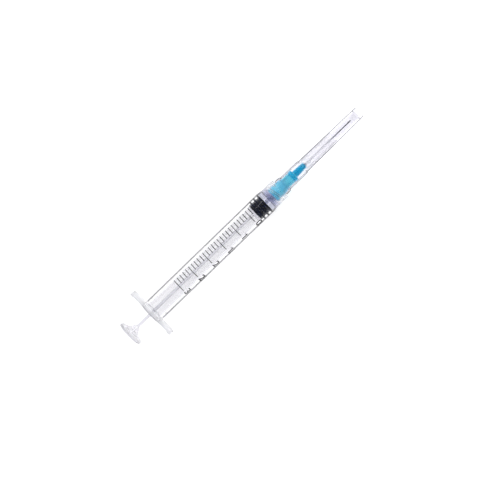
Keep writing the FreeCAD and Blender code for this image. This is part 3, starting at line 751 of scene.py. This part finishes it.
def make_plunger_rod(material):
    """Crossed ribs with soft edges, thumb rest with raised rings, pushing disc and snap head."""
    rib_back = (THUMB_BACK + THUMB_FRONT) / 2
    rib_front = (ROD_DISC_BACK + ROD_DISC_FRONT) / 2
    level = block((rib_back, -ROD_HALF_WIDTH, -ROD_RIB / 2), (rib_front, ROD_HALF_WIDTH, ROD_RIB / 2))
    upright = block((rib_back, -ROD_RIB / 2, -ROD_HALF_WIDTH), (rib_front, ROD_RIB / 2, ROD_HALF_WIDTH))
    cross = joined("rod_cross", level, [upright])
    outer = long_edges(cross, lambda spot: max(abs(spot.y), abs(spot.z)) > ROD_HALF_WIDTH - 0.01)
    soften(cross, outer, EDGE)
    inner = long_edges(cross, lambda spot: max(abs(spot.y), abs(spot.z)) < ROD_RIB)
    soften(cross, inner, ROD_FILLET)
    rest = [(THUMB_BACK, 0)]
    for number in range(1, THUMB_RINGS + 1):
        middle = THUMB_RING_GAP * number
        rest += [(THUMB_BACK, middle - THUMB_RING_FOOT),
                 (THUMB_BACK - THUMB_RING_HEIGHT, middle - THUMB_RING_CREST),
                 (THUMB_BACK - THUMB_RING_HEIGHT, middle + THUMB_RING_CREST),
                 (THUMB_BACK, middle + THUMB_RING_FOOT)]
    rest += [(THUMB_BACK, THUMB), (THUMB_FRONT, THUMB), (THUMB_FRONT, THUMB_CONE),
             (THUMB_CONE_END, ROD_RIB / 2), (THUMB_CONE_END, 0)]
    thumb = spun(rest)
    soften_rings(thumb, [(THUMB_BACK, THUMB), (THUMB_FRONT, THUMB)], THUMB_ROUND, 6)
    soften_rings(thumb, [(THUMB_FRONT, THUMB_CONE)], THUMB_CONE_ROUND, 5)
    snap = spun([
        (ROD_DISC_BACK, 0),
        (ROD_DISC_BACK, ROD_DISC),
        (ROD_DISC_FRONT, ROD_DISC),
        (ROD_DISC_FRONT, NECK),
        (HEAD_BACK, NECK),
        (HEAD_BACK, HEAD),
        (HEAD_BACK + HEAD_RIM, HEAD),
        (HEAD_BACK + HEAD_LENGTH, HEAD_NOSE),
        (HEAD_BACK + HEAD_LENGTH, 0),
    ], SNAP_STEPS)
    soften_rings(snap, [(ROD_DISC_BACK, ROD_DISC), (ROD_DISC_FRONT, ROD_DISC)], EDGE)
    whole = joined("rod_moulding", cross, [thumb, snap])
    finished("rod_moulding", whole, material, "plunger_rod", "plunger_rod")


def make_hub(material):
    """Socket, fins, ring and nose, with two lugs turned to where they meet the collar's thread."""
    core = spun([
        (HUB_BACK, SOCKET_MOUTH),
        (HUB_BACK, FOOT),
        (FOOT_FRONT, FOOT),
        (FOOT_FRONT, HUB_BODY),
        (FINS_BACK, HUB_BODY),
        (FINS_BACK, FIN),
        (FINS_BACK + FIN_SLOPE, HUB_CORE),
        (FINS_FRONT, HUB_CORE),
        (FINS_FRONT, HUB_RING),
        (RING_FRONT, HUB_RING),
        (RING_FRONT, NOSE_WIDE),
        (NOSE_FRONT, NOSE_SLIM),
        (NOSE_FRONT, WELL),
        (WELL_BACK, NEEDLE),
        (WAIST_FRONT, NEEDLE),
        (WAIST_FRONT, WAIST),
        (SOCKET_FRONT, WAIST),
        (SOCKET_FRONT, SOCKET_MOUTH - SOCKET_DEPTH * NOZZLE_TAPER),
    ])
    soften_rings(core, [(FOOT_FRONT, FOOT), (HUB_BACK, FOOT)], FOOT_ROUND, 3)
    soften_rings(core, [(FINS_BACK, HUB_BODY), (RING_FRONT, HUB_RING), (FINS_FRONT, HUB_RING)], HUB_ROUND)
    soften_rings(core, [(NOSE_FRONT, NOSE_SLIM)], NOSE_ROUND, 5)
    soften_rings(core, [(RING_FRONT, NOSE_WIDE)], NOSE_FILLET)
    additions = []
    for number in range(FINS):
        fin = block((FINS_BACK - FIN_OVERLAP, -FIN_THICKNESS / 2, HUB_CORE - SUNK),
                    (FINS_FRONT + FIN_OVERLAP, FIN_THICKNESS / 2, FIN))
        additions.append(turned(fin, FIN_TURN + number * FULL_TURN / FINS))
    lug_rise = LUG_TURNS * THREAD_LEAD
    lug_middle = HUB_BACK + LUG_INSET + (LUG_BASE_WIDTH + lug_rise) / 2
    lug_back = lug_middle - lug_rise / 2
    flank_there = LUG_TIP_WIDTH / 2 + THREAD_CREST_HALF + (LUG - THREAD_CREST) * THREAD_FLANK
    thread_there = lug_middle + flank_there + LUG_GAP
    lug_turn = ((thread_there - THREAD_BACK) / THREAD_LEAD - LUG_TURNS / 2) * FULL_TURN
    for half in (0, math.pi):
        lug = screwed([
            (lug_back - LUG_BASE_WIDTH / 2 - LUG_ROOT_SPREAD, FOOT - SUNK),
            (lug_back - LUG_TIP_WIDTH / 2, LUG),
            (lug_back + LUG_TIP_WIDTH / 2, LUG),
            (lug_back + LUG_BASE_WIDTH / 2 + LUG_ROOT_SPREAD, FOOT - SUNK),
        ], 0, LUG_TURNS, THREAD_LEAD, LUG_STEPS)
        additions.append(turned(lug, half + lug_turn))
    whole = joined("hub_moulding", core, additions)
    finished("hub_moulding", whole, material, "needle_hub", "needle_hub")


def make_cannula(material):
    """Drawn tube, ground with one long slant and two side cuts."""
    tube = spun([(WAIST_FRONT, NEEDLE_BORE), (WAIST_FRONT, NEEDLE),
                 (NEEDLE_TIP, NEEDLE), (NEEDLE_TIP, NEEDLE_BORE)], NEEDLE_STEPS)
    cuts = []
    grinds = ((BEVEL_LENGTH, 0.0), (LANCET_LENGTH, LANCET_TURN), (LANCET_LENGTH, -LANCET_TURN))
    for length, turn in grinds:
        stone = block((-3, -1, 0), (3, 1, 3))
        lean = Matrix.Rotation(math.atan2(2 * NEEDLE, length), 3, "Y")
        middle = (NEEDLE_TIP - length / 2) * MM
        bmesh.ops.rotate(stone, cent=(0, 0, 0), matrix=lean, verts=stone.verts[:])
        bmesh.ops.translate(stone, vec=(middle, 0, 0), verts=stone.verts[:])
        cuts.append(turned(stone, turn))
    ground = joined("needle_tube", tube, cuts, "DIFFERENCE")
    finished("needle_tube", ground, material, "cannula", "needle_hub")


def make_bond(material):
    """The glue that fills the nose's well and creeps a little up the needle."""
    shape = spun([
        (GLUE_BACK, NEEDLE + GLUE_GAP),
        (GLUE_BACK, NEEDLE + 2 * GLUE_GAP),
        (NOSE_FRONT, WELL - GLUE_GAP),
        (NOSE_FRONT + 0.1, WELL - 3 * GLUE_GAP),
        (NOSE_FRONT + 0.2, (NEEDLE + WELL) / 2),
        (GLUE_FRONT - 0.1, NEEDLE + 0.14),
        (GLUE_FRONT, NEEDLE + 2 * GLUE_GAP),
        (GLUE_FRONT, NEEDLE + GLUE_GAP),
    ], GLUE_STEPS)
    finished("glue_ring", shape, material, "needle_bond", "needle_bond")


def make_cap(material):
    """Stepped sheath with a skirt at its mouth and fine ribs inside its long part."""
    sheath = spun([
        (CAP_MOUTH, CAP_SKIRT_BORE),
        (CAP_MOUTH, CAP_SKIRT),
        (CAP_GRIP_BACK, CAP_SKIRT),
        (CAP_GRIP_BACK + CAP_SLOPE, CAP_GRIP),
        (CAP_STEP, CAP_GRIP),
        (CAP_RIB_BACK, CAP_WIDE),
        (CAP_FRONT, CAP_SLIM),
        (CAP_FRONT, 0),
        (CAP_FRONT - CAP_END, 0),
        (CAP_FRONT - CAP_END, CAP_SLIM - CAP_WALL),
        (CAP_RIB_BACK, CAP_WIDE - CAP_WALL),
        (CAP_STEP, CAP_RING_BORE),
        (CAP_SEAT + CAP_SLOPE, CAP_RING_BORE),
        (CAP_SEAT, CAP_SKIRT_BORE),
    ])
    soften_rings(sheath, [(CAP_FRONT, CAP_SLIM)], CAP_END_ROUND, 6)
    soften_rings(sheath, [(CAP_FRONT - CAP_END, CAP_SLIM - CAP_WALL)], CAP_FLOOR_ROUND, 5)
    soften_rings(sheath, [(CAP_MOUTH, CAP_SKIRT), (CAP_GRIP_BACK, CAP_SKIRT)], EDGE)
    soften_rings(sheath, [(CAP_GRIP_BACK + CAP_SLOPE, CAP_GRIP), (CAP_STEP, CAP_GRIP),
                          (CAP_RIB_BACK, CAP_WIDE)], EDGE, 3)
    ribs = []
    inside = CAP_WIDE - CAP_WALL
    drop = (CAP_WIDE - CAP_SLIM) / (CAP_FRONT - CAP_END - CAP_RIB_BACK)
    for number in range(CAP_RIBS):
        rib = block((CAP_RIB_BACK, -CAP_RIB_HALF, inside - CAP_RIB_HEIGHT),
                    (CAP_RIB_END, CAP_RIB_HALF, inside + SUNK))
        far = [vert for vert in rib.verts if vert.co.x > (CAP_RIB_BACK + 1) * MM]
        low_back = [vert for vert in rib.verts if vert not in far and vert.co.z < inside * MM]
        bmesh.ops.translate(rib, vec=(0, 0, -drop * CAP_RIB_LENGTH * MM), verts=far)
        bmesh.ops.translate(rib, vec=(CAP_RIB_RAMP * MM, 0, 0), verts=low_back)
        ribs.append(turned(rib, CAP_RIB_TURN + number * FULL_TURN / CAP_RIBS))
    whole = joined("cap_sheath", sheath, ribs)
    finished("cap_sheath", whole, material, "needle_cap", "needle_cap")


def add_flag(digits):
    """Give a number that starts with a bare stem its slanted flag."""
    left = min(vert.co.x for vert in digits.verts)
    top = max(vert.co.y for vert in digits.verts)
    flag = bmesh.ops.create_cube(digits, size=1.0)["verts"]
    bmesh.ops.scale(digits, vec=FLAG_SIZE, verts=flag)
    bmesh.ops.rotate(digits, cent=(0, 0, 0), matrix=Matrix.Rotation(FLAG_LEAN, 3, "Z"), verts=flag)
    bmesh.ops.translate(digits, vec=(left - FLAG_LEFT, top - FLAG_DROP, 0), verts=flag)


def flat_number(value):
    """A number as a flat shape cut into small facets, in the letters' own units."""
    words = bpy.data.curves.new("number", "FONT")
    words.body = f"{value:g}"
    words.size = 1.0
    words.extrude = 0.5
    words.resolution_u = 5
    words.offset = DIGIT_WEIGHT
    holder = bpy.data.objects.new("number", words)
    bpy.context.scene.collection.objects.link(holder)
    mesh = settled(holder)
    bpy.data.objects.remove(holder)
    digits = bmesh.new()
    digits.from_mesh(mesh)
    bpy.data.meshes.remove(mesh)
    if 1 <= value < 2:
        add_flag(digits)
    bmesh.ops.triangulate(digits, faces=digits.faces[:])
    long_ones = [edge for edge in digits.edges if edge.calc_length() > DIGIT_FACET]
    bmesh.ops.subdivide_edges(digits, edges=long_ones, cuts=2, use_grid_fill=False)
    bmesh.ops.triangulate(digits, faces=digits.faces[:])
    return digits


def wrap_number(digits, middle):
    """Scale a flat number and bend it round the tube, with its foot towards the thumb rest."""
    low = Vector([min(vert.co[axis] for vert in digits.verts) for axis in range(3)])
    high = Vector([max(vert.co[axis] for vert in digits.verts) for axis in range(3)])
    scale = DIGIT_HEIGHT / (high.y - low.y)
    for vert in digits.verts:
        across, up, out = vert.co - low
        angle = DIGIT_START - across * scale / TUBE
        radius = TUBE - INK_SUNK + out * (INK_RISE + INK_SUNK)
        vert.co = ((middle - DIGIT_DROP + up * scale) * MM, radius * MM * math.sin(angle),
                   radius * MM * math.cos(angle))


def make_scale(material):
    """Ticks and numbers of the scale, as thin raised ink wrapped around the tube."""
    ink = bmesh.new()

    def keep(shape):
        mesh = bpy.data.meshes.new("stroke")
        shape.to_mesh(mesh)
        shape.free()
        ink.from_mesh(mesh)
        bpy.data.meshes.remove(mesh)

    for tenth in range(SCALE_TENTHS + 1):
        along = ZERO_MARK - tenth / 10 * MILLILITRE
        finish = LONG_TICK_END if tenth % 5 == 0 else SHORT_TICK_END
        keep(screwed([
            (along - INK_WIDTH / 2, TUBE - INK_SUNK),
            (along - INK_WIDTH / 2, TUBE + INK_RISE),
            (along + INK_WIDTH / 2, TUBE + INK_RISE),
            (along + INK_WIDTH / 2, TUBE - INK_SUNK),
        ], TICK_START, (TICK_START - finish) / FULL_TURN, 0.0, TICK_STEPS))
    for tenth in range(5, SCALE_TENTHS + 1, 5):
        value = tenth / 10
        digits = flat_number(value)
        wrap_number(digits, ZERO_MARK - value * MILLILITRE)
        keep(digits)
    bmesh.ops.recalc_face_normals(ink, faces=ink.faces[:])
    piece = new_object("scale_ink", ink)
    piece.data.materials.append(material)
    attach(piece, "barrel")


def make_camera():
    """The photo's view: nearly straight down, the needle up to the right."""
    spot = Vector(CAMERA_SPOT) * MM
    ahead = (Vector(CAMERA_AIM) * MM - spot).normalized()
    right = Vector((math.cos(CAMERA_SLOPE), -math.sin(CAMERA_SLOPE), 0))
    right = (right - right.dot(ahead) * ahead).normalized()
    up = right.cross(ahead)
    camera = bpy.data.objects.new("camera", bpy.data.cameras.new("camera"))
    camera.data.lens = CAMERA_LENS
    camera.data.sensor_width = CAMERA_SENSOR
    camera.data.clip_start = 0.01
    camera.matrix_world = Matrix((
        (right.x, up.x, -ahead.x, spot.x),
        (right.y, up.y, -ahead.y, spot.y),
        (right.z, up.z, -ahead.z, spot.z),
        (0, 0, 0, 1),
    ))
    bpy.context.scene.collection.objects.link(camera)
    bpy.context.scene.camera = camera


def make_floor():
    """A sheet of paper under the syringe that keeps its shadow and shows white to the eye."""
    lowest = cad_box[0][2]
    shape = bmesh.new()
    bmesh.ops.create_grid(shape, x_segments=1, y_segments=1, size=FLOOR_SIZE)
    bmesh.ops.translate(shape, vec=(0, 0, lowest - FLOOR_GAP), verts=shape.verts[:])
    floor = new_object("floor", shape)
    material = new_material("floor_paper")
    tree = material.node_tree
    paper = add(tree, "ShaderNodeBsdfDiffuse")
    paper.inputs["Color"].default_value = (*FLOOR_COLOUR, 1)
    light = add(tree, "ShaderNodeLightPath")
    seen = add(tree, "ShaderNodeMath", operation="MAXIMUM")
    direct = add(tree, "ShaderNodeMath", operation="MULTIPLY")
    direct.inputs[1].default_value = FLOOR_GLOW
    through = add(tree, "ShaderNodeMath", operation="MULTIPLY_ADD")
    through.inputs[1].default_value = FLOOR_GLOW_THROUGH
    glow = add(tree, "ShaderNodeEmission")
    total = add(tree, "ShaderNodeAddShader")
    out = add(tree, "ShaderNodeOutputMaterial")
    link = tree.links.new
    link(light.outputs["Is Camera Ray"], seen.inputs[0])
    link(light.outputs["Is Glossy Ray"], seen.inputs[1])
    link(seen.outputs["Value"], direct.inputs[0])
    link(light.outputs["Is Transmission Ray"], through.inputs[0])
    link(direct.outputs["Value"], through.inputs[2])
    link(through.outputs["Value"], glow.inputs["Strength"])
    link(paper.outputs["BSDF"], total.inputs[0])
    link(glow.outputs["Emission"], total.inputs[1])
    link(total.outputs["Shader"], out.inputs["Surface"])
    floor.data.materials.append(material)


def make_light():
    """A pale room with a dark ceiling and horizon, and one large soft lamp."""
    world = bpy.data.worlds.new("room")
    bpy.context.scene.world = world
    world.use_nodes = True
    tree = world.node_tree
    tree.nodes.clear()
    place = add(tree, "ShaderNodeTexCoord")
    parts = add(tree, "ShaderNodeSeparateXYZ")
    height = add(tree, "ShaderNodeValToRGB")
    height.color_ramp.interpolation = "EASE"
    fill_ramp(height.color_ramp, [(position, (level, level, level)) for position, level in ROOM_LEVELS])
    light = add(tree, "ShaderNodeLightPath")
    mirrored = add(tree, "ShaderNodeMath", operation="LESS_THAN")
    mirrored.inputs[1].default_value = 0.5
    soft_light = add(tree, "ShaderNodeMix", data_type="FLOAT")
    soft_light.inputs["A"].default_value = 1.0
    plain = add(tree, "ShaderNodeMix", data_type="FLOAT")
    plain.inputs["B"].default_value = 1.0
    background = add(tree, "ShaderNodeBackground")
    background.inputs["Color"].default_value = (1, 1, 1, 1)
    out = add(tree, "ShaderNodeOutputWorld")
    link = tree.links.new
    link(place.outputs["Generated"], parts.inputs["Vector"])
    link(parts.outputs["Z"], height.inputs["Fac"])
    link(light.outputs["Diffuse Depth"], mirrored.inputs[0])
    link(mirrored.outputs["Value"], soft_light.inputs["Factor"])
    link(height.outputs["Color"], soft_light.inputs["B"])
    link(light.outputs["Is Camera Ray"], plain.inputs["Factor"])
    link(soft_light.outputs["Result"], plain.inputs["A"])
    link(plain.outputs["Result"], background.inputs["Strength"])
    link(background.outputs["Background"], out.inputs["Surface"])
    lamp = bpy.data.lights.new("softbox", "AREA")
    lamp.size = LAMP_SIZE
    lamp.energy = LAMP_POWER
    lamp.specular_factor = LAMP_GLOSS
    holder = bpy.data.objects.new("softbox", lamp)
    holder.location = LAMP_SPOT
    towards = Vector(LAMP_AIM) - Vector(LAMP_SPOT)
    holder.rotation_euler = towards.to_track_quat("-Z", "Y").to_euler()
    bpy.context.scene.collection.objects.link(holder)


surface_group = build_moulding_group()

PLAIN = (1, 1, 1)
# Painted shade multiplied into the barrel's colour: greyer at the flange and wings, violet-grey at the
# shoulder and collar.
FLANGE_PAINTED_SHADE = (0.93, 0.93, 0.94)
WING_PAINTED_SHADE = (0.89, 0.89, 0.895)
LOCK_PAINTED_SHADE = (0.98, 0.98, 1)
LOCK_HAZE = 0.24
# The barrel's rim, shades and edges are painted shade: a dark outline, greyer flange and wings,
# violet-grey shoulder and collar.
barrel_plastic = see_through_plastic(
    "clear_barrel_plastic", surface_group,
    clean=(0.965, 0.965, 0.972), worn=(0.95, 0.95, 0.96), painted_rim_shade=(0.03, 0.03, 0.035),
    milk=0.01, absorbed=(0.8, 0.8, 0.84), density=40.0,
    rim_reach=(0.3, SHOULDER + 2.0), rim_radius=TUBE - 0.3,
    frosted=((0.0, 0.45), (0.5, 0.0), (SHOULDER - 0.2, 0.0), (SHOULDER + 0.6, LOCK_HAZE),
             (COLLAR_MOUTH, LOCK_HAZE)),
    shades=((FLANGE_BACK, FLANGE_PAINTED_SHADE), (0.0, FLANGE_PAINTED_SHADE), (0.8, PLAIN), (STOPPER_FRONT, PLAIN),
            (SHOULDER + 0.3, (0.69, 0.7, 0.82)), (COLLAR_BACK + 1.6, (0.71, 0.72, 0.84)),
            (COLLAR_BACK + 2.6, LOCK_PAINTED_SHADE), (COLLAR_MOUTH, LOCK_PAINTED_SHADE)),
    edges=(FLANGE_DISC + 0.2, ((FLANGE_BACK, WING_PAINTED_SHADE), (0.0, WING_PAINTED_SHADE))))

# The rod's rim, shades and edges are painted shade: pale outlines, a greyer thumb rest and a dark line
# along its rib edges.
rod_plastic = see_through_plastic(
    "clear_rod_plastic", surface_group,
    clean=(0.965, 0.96, 0.975), worn=(0.95, 0.945, 0.965), painted_rim_shade=(0.9, 0.9, 0.93),
    milk=0.04, absorbed=(0.6, 0.59, 0.66), density=25.0,
    frosted=((THUMB_FRONT - 0.2, 0.4), (THUMB_FRONT + 1.0, 0.0)),
    shades=((THUMB_BACK, (0.92, 0.915, 0.93)), (THUMB_CONE_END, (0.96, 0.96, 0.97)), (2.0, PLAIN)),
    edges=(ROD_HALF_WIDTH - 0.15, (
        (THUMB_CONE_END - 0.7, PLAIN), (THUMB_CONE_END + 0.3, (0.74, 0.74, 0.77)),
        (-2.0, (0.76, 0.76, 0.79)), (8.0, (0.9, 0.9, 0.93)))))

CAP_HAZE = 0.5
CAP_HAZE_END = CAP_RIB_END - 4.5
CAP_CLEAR_BACK = CAP_RIB_END + 1.5
# Painted shade that greys the cap towards its closed end; its rim is a painted dark outline.
CAP_PAINTED_SHADE = (0.945, 0.945, 0.955)
cap_plastic = see_through_plastic(
    "clear_cap_plastic", surface_group,
    clean=(0.96, 0.955, 0.985), worn=(0.945, 0.94, 0.975), painted_rim_shade=(0.06, 0.06, 0.08),
    milk=0.01, absorbed=(0.76, 0.76, 0.86), density=30.0, rim_radius=CAP_SLIM - 0.15,
    frosted=((NOSE_FRONT - 4.0, 0.0), (NOSE_FRONT, 0.35), (NOSE_FRONT + 2.0, CAP_HAZE),
             (CAP_HAZE_END, CAP_HAZE), (CAP_CLEAR_BACK, 0.0)),
    shades=((CAP_MOUTH, PLAIN), (CAP_HAZE_END, PLAIN), (CAP_CLEAR_BACK, CAP_PAINTED_SHADE),
            (CAP_FRONT - 6.0, CAP_PAINTED_SHADE), (CAP_FRONT - 2.5, (0.87, 0.87, 0.88))))

# Painted shade on the blue hub: socket bluer, fins lighter, ring and nose darker, with a painted dark
# blue outline as its rim.
SOCKET_PAINTED_SHADE = (0.8, 0.91, 1)
RING_PAINTED_SHADE = (0.08, 0.7, 0.9)
hub_plastic = see_through_plastic(
    "blue_hub_plastic", surface_group,
    clean=(0.24, 0.86, 1.0), worn=(0.23, 0.82, 0.97), painted_rim_shade=(0.05, 0.6, 0.9),
    milk=0.7, absorbed=(0.06, 0.7, 0.97), density=40.0,
    shades=((HUB_BACK, SOCKET_PAINTED_SHADE), (FINS_BACK, SOCKET_PAINTED_SHADE), (FINS_BACK + 1.0, (0.92, 1, 1)),
            (FINS_FRONT - 0.6, (0.8, 1, 1)), (FINS_FRONT, RING_PAINTED_SHADE), (RING_FRONT - 0.2, RING_PAINTED_SHADE),
            (RING_FRONT, (0.9, 1, 1)), (RING_FRONT + 0.5, (0.01, 0.54, 0.75)),
            (NOSE_FRONT, (0.02, 0.56, 0.77))))

# Its rim colour is painted shade at its outline.
glue = see_through_plastic(
    "cured_glue", surface_group,
    clean=(0.92, 0.95, 0.97), worn=(0.9, 0.94, 0.95), painted_rim_shade=(0.7, 0.75, 0.78),
    milk=0.02, absorbed=(0.8, 0.9, 0.95), density=40.0, ior=1.54)

rubber = solid_surface(
    "black_rubber", surface_group, base=(0.003, 0.007, 0.028), second=(0.008, 0.012, 0.036),
    roughness=0.4, scuffs=0.2, specular=0.15)
steel = solid_surface(
    "needle_steel", surface_group, base=(0.74, 0.75, 0.78), second=(0.62, 0.63, 0.66),
    roughness=0.42, metallic=1.0, ripple=0.05)
black_ink = solid_surface(
    "black_ink", surface_group, base=(0.006, 0.006, 0.008), second=(0.03, 0.03, 0.034),
    roughness=0.5, specular=0.25)

make_barrel(barrel_plastic)
make_scale(black_ink)
make_stopper(rubber)
make_plunger_rod(rod_plastic)
make_hub(hub_plastic)
make_cannula(steel)
make_bond(glue)
make_cap(cap_plastic)
make_camera()
make_floor()
make_light()

bpy.context.scene.cycles.max_bounces = BOUNCES
bpy.context.scene.cycles.transmission_bounces = BOUNCES
bpy.context.scene.view_settings.view_transform = "Standard"
